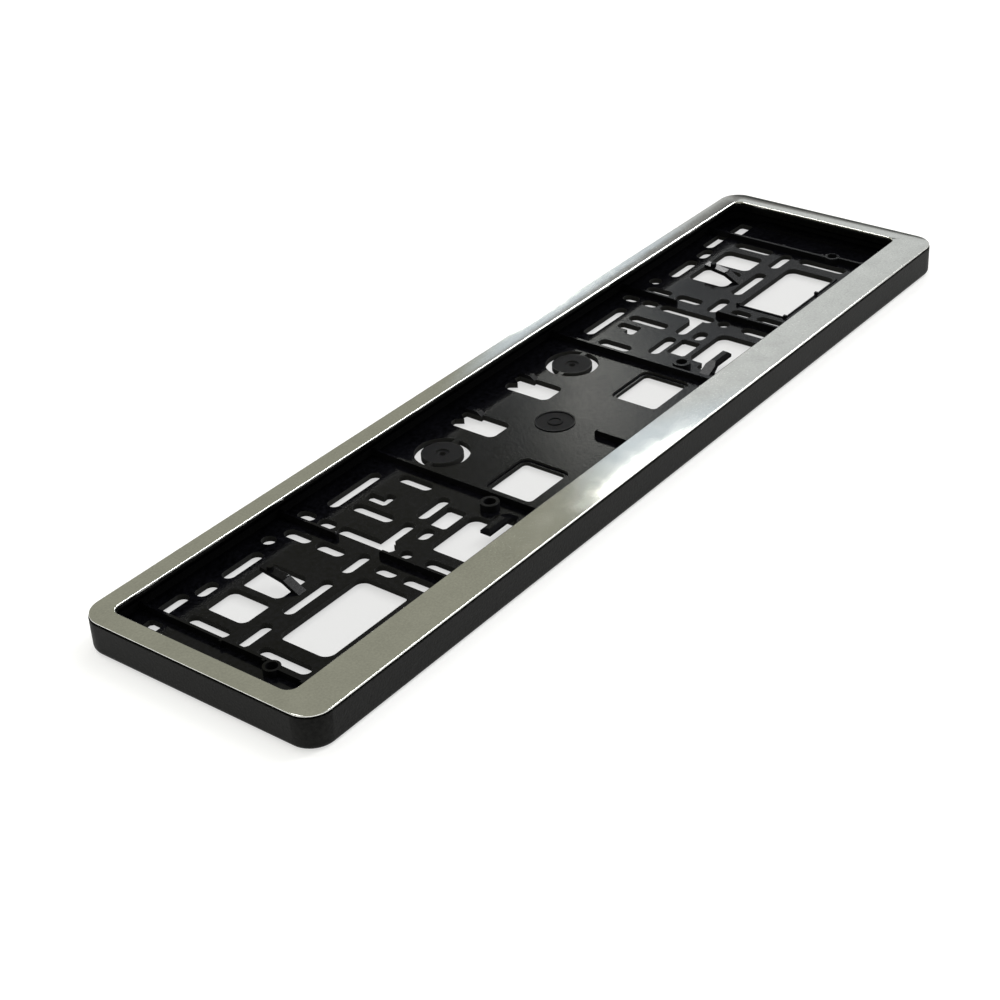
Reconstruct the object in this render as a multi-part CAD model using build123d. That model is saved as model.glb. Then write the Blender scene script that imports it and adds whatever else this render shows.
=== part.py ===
from build123d import *
import os

# Number plate holder lying on its back, face up. X runs along the plate, +Y is the plate's top edge.
# The origin is at the middle of the back. All sizes are millimetres.

# Bays of the base plate, from the middle to one end. Together they give the length for a 520 mm plate.
centre_bay = 151.2
inner_bay = 68.5
outer_bay = 91.4
end_bay = 30.1

# Opening and lips of the frame. The opening laps over a 112 mm plate by 3 mm all round.
opening_height = 106.0
top_lip = 10.1
bottom_lip = 21.0
end_lip = 10.5
opening_corner = 5.0

# Frame body
body_height = 18.0
outer_corner = 12.4
wall = 2.0
flange = 1.6
snap_bead = 1.2
foot_flat = 0.2
flange_setback = 0.4

# Bright trim, a pressed sheet with both edges turned down
trim_sheet = 0.7
trim_edge = 1.1
trim_chamfer = 0.4
trim_inset = 0.4
trim_gap = 0.5
neck_inset = 1.4
land_clearance = 0.1

# Floor and rims of the base plate
floor_lift = 1.1
floor_thickness = 3.0
base_clearance = 0.3
rim_thickness = 1.6
rim_height = 4.0
foot_clearance = 0.5
foot_width = 2.0
end_ledge_width = 7.0
end_ledge_height = 1.5

# Ribs and bosses that stand on the floor
rib_thickness = 1.5
rib_height = 3.3
rib_end_round = 1.8
centre_rib_drop = 16.0
lower_rib_drop = 5.5
upper_rib_drop = 13.7
boss_radius = 4.8
boss_bore = 3.0
boss_offset = 7.6
boss_drop = 13.4
end_boss_radius = 4.2
end_boss_bore = 2.9
end_boss_drop = 16.2
end_rib_step = 2.5
gusset_length = 1.8
gusset_rise = 6.3
gusset_drop = 10.2
lower_gusset_drop = 34.7

# Rows and bands of the hole pattern, from the top edge, the middle row and the bottom edge of the floor
upper_row_drop = 12.1
top_row_drop = 16.5
band_drop = 25.2
middle_row = 7.3
band_rise = 9.3
window_drop = 9.0
window_lift = 34.9
lower_lift = 27.9
lower_drop = 17.5

# Widths and corners of the holes
slot_width = 7.0
round_hole = 3.7
window_corner = 5.0
band_corner = 4.0
small_chamfer = 1.2

# Slots along X, each as start and length, measured from the rib on the inner side of the bay
inner_top_slot = (12.5, 36.5)
inner_middle_slot = (12.0, 21.7)
outer_top_slot = (28.6, 24.7)
outer_middle_slot = (2.0, 18.0)
long_middle_start = 27.7
# Slots along X near the ends, each as start and length, measured back from the end rib
end_top_slot = (33.3, 12.5)
end_middle_slot = (23.3, 20.2)
# Start of the slot that runs into the end rib, measured back from that rib
end_upper_start = 18.9
# Bars of floor left in the middle row, before the branch of the tee slot and before the end slot
tee_bar = 5.0
long_middle_bar = 9.0

# Columns of slots along Y: two from the centre rib, one on each side of the inner rib, one at the end rib
entry_column = 9.5
upright_column = 41.9
tee_column = 7.2
first_column = 8.5
last_column = 6.5
entry_slot = (2.4, 20.5)
tee_slot = (-8.3, 34.6)
tee_chamfer = 2.4
tee_top_slots = ((-1.4, 10.2), (-14.4, 10.3))
tee_hole_drop = 5.9
first_top_slot = (-13.1, 16.1)
first_band_slot = 16.8
first_window_slot = (-13.5, 12.4)
short_slot = (-4.2, 10.2)
short_slot_drop = 2.5
corner_hole_offset = 18.7

# Windows, each as start and width from the rib on the inner side of the bay, or back from the end rib
leg_window = (28.2, 6.2)
leg_foot = 3.9
leg_rise = 11.5
leg_foot_height = 5.8
small_window = (17.8, 17.4)
small_window_height = 11.4
small_window_bar = 2.0
hook_window_start = 17.0
hook_window_end = 17.1
hook_window_drop = 10.7
hook_bay = (11.0, 14.0)
hook_bay_height = 17.0
spring_window = (32.1, 20.7)
side_window = (35.1, 19.3)
large_window_start = 17.3
large_window_end = 17.3
end_window = (3.6, 17.0)
end_window_drop = 8.5
end_window_height = 8.4

# Ridge and stubs left where the right large window was knocked out
ridge_width = 0.7
ridge_height = 0.6
stub_width = 1.6
stub_height = 1.6
stub_offset = 34.0

# Knock-out discs, rings round the moulding gate and the windows of the centre bay
disc_inset = 20.2
disc_drop = 30.1
disc_radius = 10.8
disc_gap = 3.5
disc_bridge = 2.8
disc_bridge_turn = 6.0
disc_bore = 1.8
disc_sink = 3.6
disc_sink_depth = 0.7
gate_radius = 10.6
gate_boss = 4.0
gate_ring_width = 1.1
gate_ring_height = 0.5
square_window_inset = 7.4
square_window_drop = 0.8
square_window_width = 29.6
square_window_height = 25.2
square_corner = 2.6
square_step = 2.0
square_step_depth = 1.1
clip_window_x = 22.75
clip_window_width = 16.6
clip_window_height = 28.3
clip_window_drop = 14.3
clip_tooth_width = 5.4
clip_tooth_depth = 4.0
clip_stop_width = 3.6
clip_stop_length = 10.0
clip_stop_height = 1.8
clip_stop_slope = 2.6

# Spring fingers that press on the back of the plate, and the hook fingers beside the centre rib
spring_width = 5.0
spring_thickness = 2.2
spring_height = 4.9
spring_rise = 2.1
spring_root = 4.9
spring_ramp = 9.7
spring_arm = 13.5
spring_bend = 2.5
spring_knob = 1.6
spring_knob_height = 0.8
spring_knob_setback = 4.5
hook_width = 5.8
hook_thickness = 3.0
hook_height = 4.2
hook_nose = 1.4
hook_foot = 4.3
hook_lift = 9.4
hook_root = 7.0
hook_ramp = 9.2
hook_reach = 13.4

# Sizes that follow from the ones above
base_inset = wall + base_clearance
centre_rib_x = centre_bay / 2
inner_rib_x = centre_rib_x + inner_bay
end_rib_x = inner_rib_x + outer_bay
floor_end_x = end_rib_x + end_bay
body_length = 2 * (floor_end_x + base_inset)
body_width = opening_height + top_lip + bottom_lip + 2 * trim_inset
opening_length = body_length - 2 * (end_lip + trim_inset)
opening_y = (bottom_lip - top_lip) / 2
trim_bottom = body_height - trim_edge
wall_top = trim_bottom - trim_gap
flange_bottom = trim_bottom - flange
floor_top = floor_lift + floor_thickness
rib_top = floor_top + rib_height
floor_edge_y = body_width / 2 - base_inset
rim_y = floor_edge_y - rim_thickness / 2
upper_row = floor_edge_y - upper_row_drop
top_row = floor_edge_y - top_row_drop
band_top = floor_edge_y - band_drop
band_bottom = middle_row + band_rise
window_top = middle_row - window_drop
window_bottom = window_lift - floor_edge_y
lower_top = window_top - lower_drop
lower_bottom = lower_lift - floor_edge_y
disc_x = centre_rib_x - disc_inset
disc_y = floor_edge_y - disc_drop
tee_x = inner_rib_x - tee_column
upright_x = centre_rib_x + upright_column
first_x = inner_rib_x + first_column
last_x = end_rib_x - last_column
end_boss_x = end_rib_x + end_rib_step
end_boss_y = window_top - end_boss_drop


def outline(inset):
    return RectangleRounded(body_length - 2 * inset, body_width - 2 * inset, outer_corner - inset)


def opening(growth):
    length = opening_length + 2 * growth
    height = opening_height + 2 * growth
    return Pos(0, opening_y) * RectangleRounded(length, height, opening_corner + growth)


def prism(face, bottom, top):
    return extrude(Pos(0, 0, bottom) * face, top - bottom)


def slot_along_x(start, length, y):
    return Pos(start + length / 2, y) * SlotOverall(length, slot_width)


def slot_along_y(x, start, length):
    return Pos(x, start + length / 2) * SlotOverall(length, slot_width, rotation=90)


def window(x, width, y, height, corner):
    return Pos(x + width / 2, y + height / 2) * RectangleRounded(width, height, corner)


def small_opening(x, width, y, height):
    shape = Rectangle(width, height)
    return Pos(x + width / 2, y + height / 2) * chamfer(shape.vertices(), small_chamfer)


def both_sides(shape):
    return [shape, mirror(shape, about=Plane.YZ)]


# Bright trim: a shallow pressed channel that caps the flange of the frame
def make_trim():
    ring = prism(outline(trim_inset) - opening(0), trim_bottom, body_height)
    ring = chamfer(ring.edges().group_by(Axis.Z)[-1], trim_chamfer)
    hollow = outline(trim_inset + trim_sheet) - opening(trim_sheet)
    return ring - prism(hollow, trim_bottom, body_height - trim_sheet)


# Surround frame: side walls with a rounded foot and an inner snap bead, closed in front by the flange
def make_surround():
    block = prism(outline(0), 0, wall_top)
    block = fillet(block.edges().group_by(Axis.Z)[0], wall + snap_bead - foot_flat)
    block += prism(outline(neck_inset), flange_bottom, trim_bottom)
    land_inset = trim_sheet + land_clearance
    land = outline(trim_inset + land_inset) - opening(land_inset)
    block += prism(land, trim_bottom, body_height - trim_sheet)
    block -= prism(outline(wall), floor_lift, flange_bottom)
    block -= prism(outline(wall + snap_bead), 0, floor_lift)
    return block - prism(opening(flange_setback), flange_bottom, body_height)


# Holes of the inner bay, between the centre rib and the inner rib
def inner_bay_holes():
    leg_x = centre_rib_x + leg_window[0]
    leg_y = band_bottom + leg_rise
    leg = small_opening(leg_x, leg_window[1], leg_y, band_top - leg_y)
    foot = small_opening(leg_x - leg_foot, leg_foot + leg_window[1], leg_y, leg_foot_height)
    small_top = middle_row - slot_width / 2 - small_window_bar
    hook_start = centre_rib_x + hook_window_start
    hook_width_x = inner_rib_x - hook_window_end - hook_start
    hook_height_y = window_top - hook_window_drop - lower_bottom
    hook_hole = window(hook_start, hook_width_x, lower_bottom, hook_height_y, window_corner)
    hook_hole += small_opening(centre_rib_x + hook_bay[0], hook_bay[1], lower_bottom, hook_bay_height)
    middle_x = centre_rib_x + inner_middle_slot[0]
    branch_x = middle_x + inner_middle_slot[1] + tee_bar
    holes = [
        hook_hole,
        leg + foot,
        slot_along_y(tee_x, middle_row + tee_slot[0], tee_slot[1])
        + slot_along_x(branch_x, tee_x - branch_x, middle_row),
        slot_along_x(centre_rib_x + inner_top_slot[0], inner_top_slot[1], top_row),
        slot_along_x(middle_x, inner_middle_slot[1], middle_row),
        slot_along_x(upright_x + short_slot[0], short_slot[1], window_top - short_slot_drop),
        slot_along_y(centre_rib_x + entry_column, band_bottom + entry_slot[0], entry_slot[1]),
        slot_along_y(upright_x, band_bottom, band_top - band_bottom),
        slot_along_y(tee_x, lower_bottom, lower_top - lower_bottom),
        Pos(tee_x, window_top - tee_hole_drop) * Circle(slot_width / 2),
        small_opening(centre_rib_x + small_window[0], small_window[1], small_top - small_window_height,
                      small_window_height),
    ]
    for start, length in tee_top_slots:
        holes.append(slot_along_y(tee_x, top_row + start, length))
    return holes


# The upper slot at each end runs square into the end rib
def end_upper_hole():
    start = end_rib_x - end_upper_start + slot_width / 2
    square = Rectangle(end_rib_x - start, slot_width, align=(Align.MIN, Align.CENTER))
    return Pos(start, upper_row) * (Circle(slot_width / 2) + square)


# Holes of the outer bay, between the inner rib and the end rib, and the window beyond the end rib
def outer_bay_holes():
    large_start = inner_rib_x + large_window_start
    large_width = end_rib_x - large_window_end - large_start
    band_height = band_top - band_bottom
    end_window_y = upper_row - end_window_drop
    end_middle_x = end_rib_x - end_middle_slot[0]
    long_x = inner_rib_x + long_middle_start
    return [
        window(large_start, large_width, window_bottom, window_top - window_bottom, window_corner),
        window(inner_rib_x + spring_window[0], spring_window[1], band_bottom, band_height, band_corner),
        window(end_rib_x - side_window[0], side_window[1], band_bottom, band_height, band_corner),
        small_opening(end_rib_x + end_window[0], end_window[1], end_window_y, end_window_height),
        end_upper_hole(),
        slot_along_x(inner_rib_x + outer_top_slot[0], outer_top_slot[1], top_row),
        slot_along_x(end_rib_x - end_top_slot[0], end_top_slot[1], top_row),
        slot_along_x(inner_rib_x + outer_middle_slot[0], outer_middle_slot[1], middle_row),
        slot_along_x(long_x, end_middle_x - long_middle_bar - long_x, middle_row),
        slot_along_x(end_middle_x, end_middle_slot[1], middle_row),
        slot_along_y(first_x, top_row + first_top_slot[0], first_top_slot[1]),
        slot_along_y(first_x, band_bottom, first_band_slot),
        slot_along_y(first_x, window_top + first_window_slot[0], first_window_slot[1]),
        slot_along_y(first_x, lower_bottom, lower_top - lower_bottom),
        slot_along_y(last_x, band_bottom, band_height),
        slot_along_y(last_x, window_bottom, window_top - window_bottom),
        Pos(inner_rib_x + corner_hole_offset, upper_row) * Circle(round_hole),
    ]


# The bevel where the branch of a tee slot meets its upright, on opposite edges at the two ends
def tee_bevel(side):
    x = side * (tee_x - slot_width / 2)
    y = middle_row + side * slot_width / 2
    return Polygon((x, y), (x - side * tee_chamfer, y), (x, y + side * tee_chamfer), align=None)


# A knock-out disc stays in its round hole on two thin bridges
def disc_gap_hole(x):
    gap = Circle(disc_radius + disc_gap) - Circle(disc_radius)
    bridge = Rectangle(2 * disc_radius + 4 * disc_gap, disc_bridge, rotation=disc_bridge_turn)
    return Pos(x, disc_y) * (gap - bridge + Circle(disc_bore))


# A clip window has a pointed tooth in the middle of its top edge
def clip_window(x):
    top = floor_edge_y - clip_window_drop
    start = x - clip_window_width / 2
    half_tooth = clip_tooth_width / 2
    hole = window(start, clip_window_width, top - clip_window_height, clip_window_height, band_corner)
    tip = (x, top - clip_tooth_depth)
    return hole - Polygon((x - half_tooth, top), tip, (x + half_tooth, top), align=None)


# The stop of a clip window is a low bar on its +X edge, sloped at the end towards the bottom lip
def clip_stop(x):
    top = floor_edge_y - clip_window_drop
    crest = floor_thickness + clip_stop_height
    profile = Polygon((0, 0), (clip_stop_length, 0), (clip_stop_length, floor_thickness),
                      (clip_stop_length - clip_stop_slope, crest), (0, crest), align=None)
    corner = (x + clip_window_width / 2, top, floor_lift)
    plane = Plane(origin=corner, x_dir=(0, -1, 0), z_dir=(-1, 0, 0))
    return extrude(plane * profile, clip_stop_width / 2, both=True)


def square_window(growth):
    width = square_window_width + 2 * growth
    height = square_window_height + 2 * growth
    x = centre_rib_x - square_window_inset + growth - width
    y = window_top - square_window_drop + growth - height
    return window(x, width, y, height, square_corner + growth)


# A full rib runs from rim to rim
def rib(x):
    return Pos(x, 0) * prism(Rectangle(rib_thickness, 2 * rim_y), floor_top, rib_top)


# An end rib steps outward at its boss
def end_rib():
    upper = Rectangle(rib_thickness, rim_y - end_boss_y, align=(Align.CENTER, Align.MIN))
    lower = Rectangle(rib_thickness, rim_y + end_boss_y, align=(Align.CENTER, Align.MAX))
    plan = Pos(end_rib_x, end_boss_y) * upper + Pos(end_boss_x, end_boss_y) * lower
    return prism(plan, floor_top, rib_top)


# A short rib starts at one rim, -1 for the bottom and 1 for the top, and its free end is rounded
def short_rib(x, side, free_y):
    profile = Rectangle(rim_y - side * free_y, rib_height, align=(Align.MIN, Align.MIN))
    profile = fillet(profile.vertices().sort_by(Axis((0, 0, 0), (1, 1, 0)))[-1], rib_end_round)
    plane = Plane(origin=(x, side * rim_y, floor_top), x_dir=(0, -side, 0), z_dir=(-side, 0, 0))
    return extrude(plane * profile, rib_thickness / 2, both=True)


def boss(x, y, radius, bore):
    return Pos(x, y) * prism(Circle(radius) - Circle(bore), floor_top, rib_top)


# A spring finger rises over its window, bends to a gentler slope and has a round knob near its tip
def spring_finger():
    x = inner_rib_x + spring_window[0] + spring_window[1] / 2
    root_y = band_bottom - spring_root
    crest_y = root_y + spring_ramp
    tip_y = crest_y + spring_arm
    crest_z = floor_top + spring_height - spring_thickness / 2
    tip_z = crest_z + spring_rise
    root = (root_y, floor_top - spring_thickness / 2)
    path = FilletPolyline(root, (crest_y, crest_z), (tip_y, tip_z), radius=spring_bend)
    plane = Plane(origin=(x, 0, 0), x_dir=(0, 1, 0), z_dir=(1, 0, 0))
    arm = extrude(plane * trace(path, spring_thickness), spring_width / 2, both=True)
    knob_top = tip_z + spring_thickness / 2 + spring_knob_height
    knob = prism(Circle(spring_knob), crest_z + spring_rise / 2, knob_top)
    return arm + Pos(x, tip_y - spring_knob_setback) * knob


# A hook finger rises beside the centre rib and reaches out over the hook window
def hook_finger():
    tip = hook_ramp + hook_reach
    under = hook_height - hook_thickness
    profile = Polygon((0, -floor_thickness), (hook_foot, -floor_thickness), (hook_ramp, under),
                      (tip, under), (tip, hook_height - hook_nose), (tip - hook_nose, hook_height),
                      (hook_ramp, hook_height), (0, 0), align=None)
    root = (centre_rib_x + hook_root, lower_bottom + hook_lift, floor_top)
    plane = Plane(origin=root, x_dir=(1, 0, 0), z_dir=(0, -1, 0))
    finger = extrude(plane * profile, hook_width / 2, both=True)
    return chamfer(finger.edges().filter_by(Axis.X).group_by(Axis.Z)[-1], hook_nose)


# The right large window was knocked out, which left a thin ridge and stubs along two of its edges
def knock_out_ridge():
    x = inner_rib_x + large_window_start
    length = end_rib_x - large_window_end - x
    height = window_top - window_bottom
    ridge = Pos(x, window_bottom) * Rectangle(ridge_width, height, align=(Align.MAX, Align.MIN))
    ridge += Pos(x, window_bottom) * Rectangle(length, ridge_width, align=(Align.MIN, Align.MAX))
    marks = prism(ridge, floor_top, floor_top + ridge_height)
    for stub_x, stub_y in ((x, window_top), (x, window_bottom), (x + stub_offset, window_bottom)):
        stub = Pos(stub_x, stub_y) * Rectangle(stub_width, stub_width)
        marks += prism(stub, floor_lift, floor_top + stub_height)
    return marks


# Slotted floor with its holes, the upright rim and the rear foot rim
def make_floor():
    holes = []
    for hole in inner_bay_holes() + outer_bay_holes() + [square_window(0)]:
        holes += both_sides(hole)
    for side in (-1, 1):
        holes += [tee_bevel(side), clip_window(side * clip_window_x), disc_gap_hole(side * disc_x)]
    square_end = Rectangle(window_corner, window_top - window_bottom, align=(Align.MIN, Align.MIN))
    holes.append(Pos(inner_rib_x + large_window_start, window_bottom) * square_end)
    base = prism(outline(base_inset) - holes, floor_lift, floor_top)
    rim = outline(base_inset) - outline(base_inset + rim_thickness)
    base += prism(rim, floor_lift, floor_top + rim_height)
    foot_inset = wall + snap_bead + foot_clearance
    return base + prism(outline(foot_inset) - outline(foot_inset + foot_width), 0, floor_lift)


# Base plate: the floor with its ribs, bosses, stops and fingers, moulded in one
def make_base():
    ledge_x = floor_end_x - rim_thickness - end_ledge_width
    ledge_width = end_ledge_width + rim_thickness / 2
    ledge_height = upper_row - end_window_drop - small_window_bar + rim_y
    ledge = Rectangle(ledge_width, ledge_height, align=(Align.MIN, Align.MIN))
    ledge = Pos(ledge_x, -rim_y) * ledge & outline(base_inset)
    one_side = [
        rib(centre_rib_x),
        short_rib(inner_rib_x, -1, middle_row - lower_rib_drop),
        short_rib(inner_rib_x, 1, band_top - upper_rib_drop),
        end_rib(),
        prism(ledge, floor_lift, floor_top + end_ledge_height),
        spring_finger(),
        hook_finger(),
    ]
    gusset = Rectangle(gusset_length, rib_thickness, align=(Align.MIN, Align.CENTER))
    for y in (middle_row + gusset_rise, window_top - gusset_drop):
        one_side.append(Pos(end_rib_x, y) * prism(gusset, floor_top, rib_top))
    one_side.append(Pos(end_boss_x, window_top - lower_gusset_drop) * prism(gusset, floor_top, rib_top))
    added = [short_rib(0, -1, window_top - centre_rib_drop), knock_out_ridge()]
    for radius in (gate_radius, gate_boss):
        ring = Circle(radius) - Circle(radius - gate_ring_width)
        added.append(Pos(0, middle_row) * prism(ring, floor_top, floor_top + gate_ring_height))
    for shape in one_side:
        added += both_sides(shape)
    base = make_floor() + added

    boss_x = centre_rib_x + boss_offset
    sink = prism(Circle(disc_sink), floor_top - disc_sink_depth, floor_top)
    for side in (-1, 1):
        base -= Pos(side * end_boss_x, end_boss_y) * prism(Circle(end_boss_bore), floor_top, rib_top)
        base += boss(side * end_boss_x, end_boss_y, end_boss_radius, end_boss_bore)
        base += boss(side * boss_x, window_top - boss_drop, boss_radius, boss_bore)
        base += clip_stop(side * clip_window_x)
        base -= Pos(side * disc_x, disc_y) * sink
    for step in both_sides(square_window(square_step)):
        base -= prism(step, floor_top - square_step_depth, floor_top)
    return base


pieces = {
    "base_plate": make_base(),
    "surround_frame": make_surround(),
    "bright_trim": make_trim(),
}
os.makedirs("parts", exist_ok=True)
for name, shape in pieces.items():
    print(name, len(shape.solids()), "solid", round(shape.volume), "mm3")
    export_step(shape, f"parts/{name}.step")
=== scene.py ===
import bmesh
import bpy
import math
from mathutils import Matrix, Vector


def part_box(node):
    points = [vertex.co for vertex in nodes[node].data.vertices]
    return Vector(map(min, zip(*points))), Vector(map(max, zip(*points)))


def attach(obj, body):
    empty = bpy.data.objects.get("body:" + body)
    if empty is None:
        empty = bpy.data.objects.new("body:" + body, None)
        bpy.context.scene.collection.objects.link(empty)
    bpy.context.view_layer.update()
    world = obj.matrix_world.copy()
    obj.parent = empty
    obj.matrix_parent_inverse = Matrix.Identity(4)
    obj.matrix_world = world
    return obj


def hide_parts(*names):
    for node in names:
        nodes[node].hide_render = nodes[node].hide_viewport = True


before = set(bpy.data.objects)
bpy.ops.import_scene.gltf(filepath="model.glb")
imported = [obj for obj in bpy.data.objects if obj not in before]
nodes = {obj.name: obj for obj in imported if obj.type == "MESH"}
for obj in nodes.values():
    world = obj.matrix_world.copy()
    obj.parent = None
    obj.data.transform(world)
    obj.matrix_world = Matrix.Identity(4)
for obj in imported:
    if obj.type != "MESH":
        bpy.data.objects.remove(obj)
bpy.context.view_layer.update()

print("frame loaded:", sorted(nodes))


# Small helpers for objects
def addObject(name, data):
    obj = bpy.data.objects.new(name, data)
    bpy.context.scene.collection.objects.link(obj)
    return obj


def meshObject(name, mesh):
    data = bpy.data.meshes.new(name)
    mesh.to_mesh(data)
    mesh.free()
    return addObject(name, data)


def setMaterial(obj, material):
    obj.data.materials.clear()
    obj.data.materials.append(material)


def aimed(place, aim):
    look = Vector(aim) - Vector(place)
    return Matrix.Translation(place) @ look.to_track_quat("-Z", "Y").to_matrix().to_4x4()


# Camera as in the photo, in metres and degrees, with the lens and sensor in millimetres
camera = {"place": (-0.70907, -0.53303, 0.50995), "aim": (-0.07038, -0.01099, 0.0),
          "roll": -3.413, "lens": 72.41, "sensor": 36.0, "clip": (0.01, 50.0)}


def makeCamera():
    data = bpy.data.cameras.new("photoCamera")
    data.lens = camera["lens"]
    data.sensor_width = camera["sensor"]
    data.clip_start, data.clip_end = camera["clip"]
    obj = addObject("photoCamera", data)
    roll = Matrix.Rotation(math.radians(camera["roll"]), 4, "Z")
    obj.matrix_world = aimed(camera["place"], camera["aim"]) @ roll
    bpy.context.scene.camera = obj


makeCamera()
print("camera placed")

# Small helpers for node trees
unit = (0.0, 1.0)
noiseRange = (0.3, 0.7)  # nearly all of a noise lies in here


def newMaterial(name):
    material = bpy.data.materials.new(name)
    material.use_nodes = True
    tree = material.node_tree
    return material, tree, tree.nodes["Principled BSDF"]


def addNode(tree, kind, **values):
    node = tree.nodes.new(kind)
    for key, value in values.items():
        setattr(node, key, value)
    return node


def feed(tree, value, socket):  # links another node's socket, or sets a plain value
    if isinstance(value, bpy.types.NodeSocket):
        tree.links.new(value, socket)
    else:
        socket.default_value = value


def splitUp(tree, vector):
    parts = addNode(tree, "ShaderNodeSeparateXYZ")
    tree.links.new(vector, parts.inputs[0])
    return parts.outputs


def noiseOn(tree, coords, scale, detail):
    noise = addNode(tree, "ShaderNodeTexNoise")
    feed(tree, scale, noise.inputs["Scale"])
    feed(tree, detail, noise.inputs["Detail"])
    tree.links.new(coords.outputs["Object"], noise.inputs["Vector"])
    return noise.outputs["Fac"]


def setRange(tree, source, wanted, given=noiseRange, **values):
    ranged = addNode(tree, "ShaderNodeMapRange", **values)
    labels = ("From Min", "From Max", "To Min", "To Max")
    for label, value in zip(labels, (*given, *wanted)):
        ranged.inputs[label].default_value = value
    tree.links.new(source, ranged.inputs["Value"])
    return ranged.outputs["Result"]


def mathOn(tree, operation, *values):
    node = addNode(tree, "ShaderNodeMath", operation=operation)
    for socket, value in zip(node.inputs, values):
        feed(tree, value, socket)
    return node.outputs[0]


def blendOf(tree, first, second, share):
    rest = mathOn(tree, "MULTIPLY", second, 1.0 - share)
    return mathOn(tree, "MULTIPLY_ADD", first, share, rest)


def mixColour(tree, factor, first, second):
    mix = addNode(tree, "ShaderNodeMix", data_type="RGBA")
    tree.links.new(factor, mix.inputs[0])
    for slot, value in ((6, first), (7, second)):  # the node's two colour sockets
        feed(tree, (*value, 1.0) if isinstance(value, tuple) else value, mix.inputs[slot])
    return mix.outputs[2]


def bumpOn(tree, height, depth, under=None):
    bump = addNode(tree, "ShaderNodeBump")
    bump.inputs["Strength"].default_value = 1.0
    feed(tree, depth, bump.inputs["Distance"])
    tree.links.new(height, bump.inputs["Height"])
    if under is not None:
        tree.links.new(under, bump.inputs["Normal"])
    return bump.outputs["Normal"]


def scaled(values, share):
    return tuple(value * share for value in values)


# Skin of the moulded plastic, shared by both mouldings: clouds, upright faces and a fine grain
skin = {"fineScale": 450.0, "fineShare": 0.65, "broadScale": 35.0, "cloudDetail": 3.0,
        "grainDetail": 2.0, "uprightRange": (0.7, 0.93), "roughSpread": (0.85, 1.15),
        "toneSpread": (0.2, 1.8), "speckleRange": (0.35, 0.65), "spotDull": 0.5, "spotCore": 0.9}


def mouldedSkin():
    group = bpy.data.node_groups.new("mouldedSkin", "ShaderNodeTree")
    for label, way, kind in (("Grain Scale", "INPUT", "NodeSocketFloat"),
                             ("Grain Depth", "INPUT", "NodeSocketFloat"),
                             ("Cloud", "OUTPUT", "NodeSocketFloat"),
                             ("Upright", "OUTPUT", "NodeSocketFloat"),
                             ("Normal", "OUTPUT", "NodeSocketVector")):
        group.interface.new_socket(label, in_out=way, socket_type=kind)
    given = addNode(group, "NodeGroupInput").outputs
    result = addNode(group, "NodeGroupOutput").inputs
    coords = addNode(group, "ShaderNodeTexCoord")
    fine = noiseOn(group, coords, skin["fineScale"], skin["cloudDetail"])
    broad = noiseOn(group, coords, skin["broadScale"], skin["cloudDetail"])
    group.links.new(blendOf(group, fine, broad, skin["fineShare"]), result["Cloud"])
    level = mathOn(group, "ABSOLUTE", splitUp(group, coords.outputs["Normal"])["Z"])
    upright = setRange(group, level, (1.0, 0.0), skin["uprightRange"])
    group.links.new(upright, result["Upright"])
    grain = noiseOn(group, coords, given["Grain Scale"], skin["grainDetail"])
    group.links.new(bumpOn(group, grain, given["Grain Depth"]), result["Normal"])
    return group


skinGroup = mouldedSkin()


# A round spot as a mask at every height: spotDull in its core, fading out at its edge
def spotMask(tree, coords, x, y, radius):
    flat = addNode(tree, "ShaderNodeVectorMath", operation="MULTIPLY")
    flat.inputs[1].default_value = (1.0, 1.0, 0.0)
    tree.links.new(coords.outputs["Object"], flat.inputs[0])
    away = addNode(tree, "ShaderNodeVectorMath", operation="DISTANCE")
    away.inputs[1].default_value = (x, y, 0.0)
    tree.links.new(flat.outputs["Vector"], away.inputs[0])
    edge = (radius * skin["spotCore"], radius)
    return setRange(tree, away.outputs["Value"], (skin["spotDull"], 0.0), edge)


# Black moulded plastic, glossier on the base plate than on the surround. Upright faces and the
# matt spots are duller, and upright faces below wallTop, the walls of holes, get a lighter tone as
# painted light
def plasticMaterial(name, look):
    material, tree, shader = newMaterial(name)
    group = addNode(tree, "ShaderNodeGroup", node_tree=skinGroup)
    group.inputs["Grain Scale"].default_value = look["grainScale"]
    group.inputs["Grain Depth"].default_value = look["grainDepth"]
    cloud, upright = group.outputs["Cloud"], group.outputs["Upright"]
    coords = addNode(tree, "ShaderNodeTexCoord")
    dull = upright
    for spot in look["mattSpots"]:
        dull = mathOn(tree, "MAXIMUM", dull, spotMask(tree, coords, *spot))
    rough = setRange(tree, dull, (look["roughness"], look["sideRoughness"]), unit)
    spread = setRange(tree, cloud, skin["roughSpread"])
    tree.links.new(mathOn(tree, "MULTIPLY", rough, spread), shader.inputs["Roughness"])
    dark, pale = (scaled(look["tone"], share) for share in skin["toneSpread"])
    speckle = setRange(tree, cloud, unit, skin["speckleRange"])
    colour = mixColour(tree, speckle, dark, pale)
    height = splitUp(tree, coords.outputs["Object"])["Z"]
    # Painted light: the walls of holes get a lighter tone in place of the light they catch
    wall = mathOn(tree, "MULTIPLY", upright, mathOn(tree, "LESS_THAN", height, look["wallTop"]))
    colour = mixColour(tree, wall, colour, look["paintedWallLightTone"])
    tree.links.new(colour, shader.inputs["Base Color"])
    tree.links.new(group.outputs["Normal"], shader.inputs["Normal"])
    shader.inputs["Specular IOR Level"].default_value = look["specular"]
    return material


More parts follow.
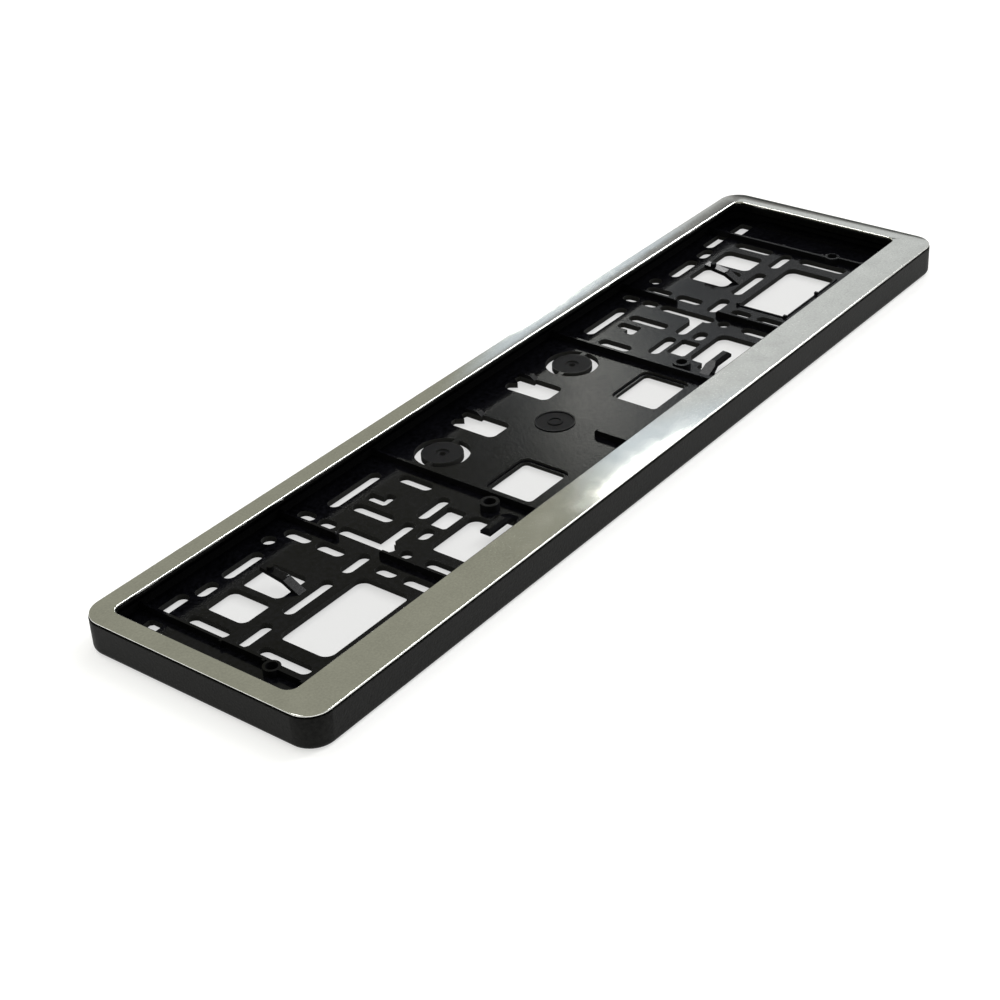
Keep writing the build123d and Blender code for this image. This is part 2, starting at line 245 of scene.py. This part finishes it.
# Polished sheet, faintly uneven from the pressing and finely grained
def metalMaterial(name, look):
    material, tree, shader = newMaterial(name)
    coords = addNode(tree, "ShaderNodeTexCoord")
    cloud = noiseOn(tree, coords, look["cloudScale"], look["cloudDetail"])
    rough = setRange(tree, cloud, scaled(look["roughSpread"], look["roughness"]))
    tree.links.new(rough, shader.inputs["Roughness"])
    fine = noiseOn(tree, coords, look["speckleScale"], look["speckleDetail"])
    speckle = setRange(tree, blendOf(tree, fine, cloud, look["speckleShare"]), unit)
    dark, pale = (scaled(look["tone"], share) for share in look["toneSpread"])
    tree.links.new(mixColour(tree, speckle, dark, pale), shader.inputs["Base Color"])
    normal = None
    for kind in ("wave", "grain"):
        bumps = noiseOn(tree, coords, look[kind + "Scale"], look["bumpDetail"])
        normal = bumpOn(tree, bumps, look[kind + "Depth"], normal)
    tree.links.new(normal, shader.inputs["Normal"])
    shader.inputs["Metallic"].default_value = 1.0
    return material


# The matt spots are the gate mark and the two knock-out discs, each as x, y and radius
# The lighter tone of the base plate's hole walls is painted light
baseLook = {"tone": (0.0026, 0.0026, 0.0036), "paintedWallLightTone": (0.03, 0.03, 0.03), "wallTop": 0.0041,
            "roughness": 0.15, "sideRoughness": 0.9, "specular": 0.145,
            "mattSpots": ((0.0, 0.0073, 0.0106), (-0.0554, 0.03655, 0.0108),
                          (0.0554, 0.03655, 0.0108)),
            "grainScale": 700.0, "grainDepth": 0.00003}
surroundLook = {"tone": (0.008, 0.008, 0.008), "paintedWallLightTone": (0.008, 0.008, 0.008),
                "wallTop": 0.001, "roughness": 0.5, "sideRoughness": 0.5, "specular": 0.1,
                "mattSpots": (), "grainScale": 900.0, "grainDepth": 0.00016}
trimLook = {"tone": (0.72, 0.72, 0.69), "toneSpread": (0.9, 1.1), "roughness": 0.07,
            "roughSpread": (0.8, 1.2), "cloudScale": 90.0, "cloudDetail": 4.0,
            "speckleScale": 900.0, "speckleDetail": 2.0, "speckleShare": 0.6,
            "waveScale": 60.0, "waveDepth": 0.000015, "grainScale": 1500.0,
            "grainDepth": 0.000003, "bumpDetail": 1.0}
baseMaterial = plasticMaterial("baseMoulding", baseLook)
surroundMaterial = plasticMaterial("surroundMoulding", surroundLook)
trimMaterial = metalMaterial("trimSteel", trimLook)
print("materials made")

# The mouldings as they come from the frame, with their hard edges rounded a little
softEdges = {"base_plate": 0.0003, "surround_frame": 0.00025, "segments": 2, "angle": 40.0,
             "weld": 0.000001}


def softenEdges(obj, width):
    weld = obj.modifiers.new("weld", "WELD")
    weld.merge_threshold = softEdges["weld"]
    bevel = obj.modifiers.new("softEdges", "BEVEL")
    bevel.width = width
    bevel.segments = softEdges["segments"]
    bevel.limit_method = "ANGLE"
    bevel.angle_limit = math.radians(softEdges["angle"])


for nodeName, material in (("base_plate", baseMaterial), ("surround_frame", surroundMaterial)):
    setMaterial(nodes[nodeName], material)
    softenEdges(nodes[nodeName], softEdges[nodeName])
print("mouldings dressed")

# Bright trim: the CAD ring again as a thin pressed sheet. A crown below zero dishes its lip
trim = {"endLip": 0.0105, "topLip": 0.0101, "bottomLip": 0.021, "corner": 0.012,
        "openingCorner": 0.005, "bottomCrown": -0.00012, "topCrown": -0.00006,
        "endCrown": 0.0001, "topTilt": 0.00004, "edgeDepth": 0.0011, "outerFold": 0.0004,
        "innerFold": 0.0006, "foldSteps": 6, "sheet": 0.0004, "rows": 12, "cornerSteps": 12}


# A rounded rectangle whose points carry their place across the lip and the crown of that lip
def roundedLoop(mesh, low, high, corner, across, crown, place):
    made = bmesh.ops.create_grid(mesh, x_segments=1, y_segments=1, size=0.5)["verts"]
    for vert in made:
        vert.co.x = low.x if vert.co.x < 0 else high.x
        vert.co.y = low.y if vert.co.y < 0 else high.y
    others = set(mesh.verts) - set(made)
    bmesh.ops.bevel(mesh, geom=made, affect="VERTICES", offset=corner, offset_type="OFFSET",
                    segments=trim["cornerSteps"], profile=0.5, material=-1)
    loop = [vert for vert in mesh.verts if vert not in others]
    for vert in loop:
        turn = max(vert.co.x - high.x + corner, low.x + corner - vert.co.x, 0.0) / corner
        longCrown = trim["topCrown"] if vert.co.y > 0 else trim["bottomCrown"]
        vert[across] = place
        vert[crown] = longCrown + (trim["endCrown"] - longCrown) * turn * turn
    around = (edge for vert in loop for edge in vert.link_edges)
    return list(dict.fromkeys(around))  # each edge once


# Both rims turned down, with a rounded fold along each
def foldRims(mesh, across, top):
    rims = [edge for edge in mesh.edges if edge.is_boundary]
    outerRims = [edge for edge in rims if edge.verts[0][across] > 0]
    innerRims = [edge for edge in rims if edge.verts[0][across] < 0]
    for item in bmesh.ops.extrude_edge_only(mesh, edges=rims)["geom"]:
        if isinstance(item, bmesh.types.BMVert):
            item.co.z = top - trim["edgeDepth"]
    for rim, radius in ((outerRims, trim["outerFold"]), (innerRims, trim["innerFold"])):
        fold = bmesh.ops.bevel(mesh, geom=rim, affect="EDGES", offset=radius,
                               offset_type="OFFSET", segments=trim["foldSteps"], profile=0.5,
                               material=-1)
        made = set(fold["faces"])
        for edge in {edge for face in made for edge in face.edges}:
            edge.smooth = all(face in made for face in edge.link_faces)  # flat up to the fold


def makeTrim():
    low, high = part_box("bright_trim")
    mesh = bmesh.new()
    across = mesh.verts.layers.float.new("across")
    crown = mesh.verts.layers.float.new("crown")
    innerLow = Vector((low.x + trim["endLip"], low.y + trim["bottomLip"], 0))
    innerHigh = Vector((high.x - trim["endLip"], high.y - trim["topLip"], 0))
    edges = roundedLoop(mesh, innerLow, innerHigh, trim["openingCorner"], across, crown, -1.0)
    edges += roundedLoop(mesh, low, high, trim["corner"], across, crown, 1.0)
    bmesh.ops.delete(mesh, geom=list(mesh.faces), context="FACES_ONLY")
    bridged = bmesh.ops.bridge_loops(mesh, edges=edges)["edges"]
    bmesh.ops.subdivide_edges(mesh, edges=bridged, cuts=trim["rows"] - 1, use_grid_fill=True)
    for vert in mesh.verts:
        bow = vert[across] * vert[across]
        vert.co.z = high.z - max(vert[crown], 0.0) * bow + min(vert[crown], 0.0) * (1.0 - bow)
        if vert.co.y > innerHigh.y:
            vert.co.z -= trim["topTilt"] * (vert.co.y - innerHigh.y) / trim["topLip"]
    foldRims(mesh, across, high.z)
    bmesh.ops.recalc_face_normals(mesh, faces=list(mesh.faces))
    if sum(face.normal.z for face in mesh.faces) < 0:  # an open sheet can come out face down
        bmesh.ops.reverse_faces(mesh, faces=list(mesh.faces))
    for face in mesh.faces:
        face.smooth = True
    obj = meshObject("brightTrimShell", mesh)
    sheet = obj.modifiers.new("sheet", "SOLIDIFY")
    sheet.thickness = trim["sheet"]
    sheet.offset = -1.0
    setMaterial(obj, trimMaterial)
    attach(obj, "root")
    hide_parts("bright_trim")
    return obj


trimShell = makeTrim()
print("bright trim made:", len(trimShell.data.polygons), "faces")

# Pale table under one soft lamp, with painted shade under the holder: darker inside its outline
table = {"size": 30.0, "tone": (0.5, 0.5, 0.5), "lift": 0.6, "shade": (0.262, 0.063),
         "paintedShadeTone": (0.2, 0.2, 0.2), "paintedShadeLift": 0.575, "roughness": 0.7, "specular": 0.1}
lamp = {"power": 20.0, "size": 2.4, "height": 2.2}


def makeTable():
    mesh = bmesh.new()
    bmesh.ops.create_grid(mesh, x_segments=1, y_segments=1, size=table["size"] / 2)
    obj = meshObject("table", mesh)
    material, tree, shader = newMaterial("tablePaper")
    shader.inputs["Roughness"].default_value = table["roughness"]
    shader.inputs["Specular IOR Level"].default_value = table["specular"]
    path = addNode(tree, "ShaderNodeLightPath").outputs
    seen = mathOn(tree, "ADD", path["Is Camera Ray"], path["Is Glossy Ray"])
    seen = mathOn(tree, "ADD", seen, path["Is Transmission Ray"])
    place = splitUp(tree, addNode(tree, "ShaderNodeTexCoord").outputs["Object"])
    beyond = []
    for axis, half in zip("XY", table["shade"]):
        away = mathOn(tree, "ABSOLUTE", place[axis])
        beyond.append(mathOn(tree, "GREATER_THAN", away, half))
    clear = mathOn(tree, "MAXIMUM", *beyond)
    # Painted shade under the holder: a darker tone inside its outline, with a glow that mostly
    # fills the shadows in the holes
    tone = mixColour(tree, clear, table["paintedShadeTone"], table["tone"])
    tree.links.new(tone, shader.inputs["Base Color"])
    lift = setRange(tree, clear, (table["paintedShadeLift"], table["lift"]), unit)
    shader.inputs["Emission Color"].default_value = (1.0, 1.0, 1.0, 1.0)
    tree.links.new(mathOn(tree, "MULTIPLY", seen, lift), shader.inputs["Emission Strength"])
    setMaterial(obj, material)


def makeLamp():
    data = bpy.data.lights.new("topLight", "AREA")
    data.size = lamp["size"]
    data.energy = lamp["power"]
    obj = addObject("topLight", data)
    obj.matrix_world = aimed((0.0, 0.0, lamp["height"]), (0.0, 0.0, 0.0))
    obj.visible_glossy = False


# Colours of an olive-grey room: a paler wall to the right with a dark skirting, and four lit
# patches. The pane shows on the wide lip, the window and bulb on the folds, the glare on the floor
roomTones = {"room": (0.342, 0.342, 0.277), "wall": (0.68, 0.7, 0.7), "glow": (0.76, 0.84, 0.91),
             "low": (0.28, 0.28, 0.27), "skirting": (0.05, 0.05, 0.05), "pane": (9.0, 9.0, 8.2),
             "window": (13.0, 13.0, 13.0), "bulb": (12.0, 12.0, 12.0),
             "glare": (16.0, 16.0, 16.0)}
# Their edges as degrees round from +X and up from the table, each with half the width of its
# soft edge. A lean is how much an edge shifts for each degree of the other angle
roomEdges = {"wallLine": (67.3, 2.0), "wallEnd": (-60.0, 20.0), "glowTurn": (32.9, 1.0),
             "lowLine": (16.3, 0.35), "lowLean": -0.25, "skirtingRise": (22.3, 1.0),
             "paneLine": (49.6, 0.35), "paneLean": 0.43, "paneTurn": (34.4, 0.5),
             "paneRise": (27.9, 0.4), "paneTop": (10.3, 0.25), "topLean": -0.55,
             "windowTurn": ((-30.0, 3.0), (-13.0, 3.0)), "windowRise": ((34.0, 2.0), (60.0, 2.0)),
             "bulbTurn": ((70.0, 3.0), (97.0, 3.0)), "bulbRise": ((57.0, 2.0), (69.0, 2.0)),
             "glareTurn": ((14.0, 4.0), (30.5, 1.0)), "glareRise": ((33.0, 0.7), (38.0, 1.0))}


def angleStep(tree, angle, edge, wanted=unit):
    middle, half = edge
    given = (math.radians(middle - half), math.radians(middle + half))
    return setRange(tree, angle, wanted, given, interpolation_type="SMOOTHSTEP")


# One colour before an edge and another past it
def pastEdge(tree, angle, edge, before, past):
    return mixColour(tree, angleStep(tree, angle, roomEdges[edge]), before, past)


# A patch of the room as a mask: one past all the rising edges and before all the falling ones
def inPatch(tree, rising, falling):
    mask = None
    for edges, wanted in ((rising, unit), (falling, unit[::-1])):
        for angle, edge in edges:
            step = angleStep(tree, angle, edge, wanted)
            mask = step if mask is None else mathOn(tree, "MULTIPLY", mask, step)
    return mask


def makeWorld():
    world = bpy.data.worlds.new("studio")
    bpy.context.scene.world = world
    world.use_nodes = True
    tree = world.node_tree
    way = splitUp(tree, addNode(tree, "ShaderNodeTexCoord").outputs["Generated"])
    rise = mathOn(tree, "ARCSINE", way["Z"])
    turn = mathOn(tree, "ARCTAN2", way["Y"], way["X"])
    wallLine = mathOn(tree, "ADD", turn, rise)
    lowLine = mathOn(tree, "MULTIPLY_ADD", turn, roomEdges["lowLean"], rise)
    paneLine = mathOn(tree, "MULTIPLY_ADD", rise, roomEdges["paneLean"], turn)
    paneTop = mathOn(tree, "MULTIPLY_ADD", turn, roomEdges["topLean"], rise)
    side = pastEdge(tree, turn, "glowTurn", roomTones["wall"], roomTones["glow"])
    lower = pastEdge(tree, rise, "skirtingRise", roomTones["skirting"], roomTones["low"])
    side = pastEdge(tree, lowLine, "lowLine", lower, side)
    around = pastEdge(tree, wallLine, "wallLine", side, roomTones["room"])
    around = pastEdge(tree, turn, "wallEnd", roomTones["room"], around)
    pane = inPatch(tree, [(turn, roomEdges["paneTurn"]), (rise, roomEdges["paneRise"])],
                   [(paneLine, roomEdges["paneLine"]), (paneTop, roomEdges["paneTop"])])
    around = mixColour(tree, pane, around, roomTones["pane"])
    for name in ("window", "bulb", "glare"):
        edges = zip(roomEdges[name + "Turn"], roomEdges[name + "Rise"])
        rising, falling = ([(turn, turnEdge), (rise, riseEdge)] for turnEdge, riseEdge in edges)
        around = mixColour(tree, inPatch(tree, rising, falling), around, roomTones[name])
    tree.links.new(around, tree.nodes["Background"].inputs["Color"])


makeTable()
makeWorld()
makeLamp()
bpy.context.scene.view_settings.view_transform = "Standard"
print("studio set")
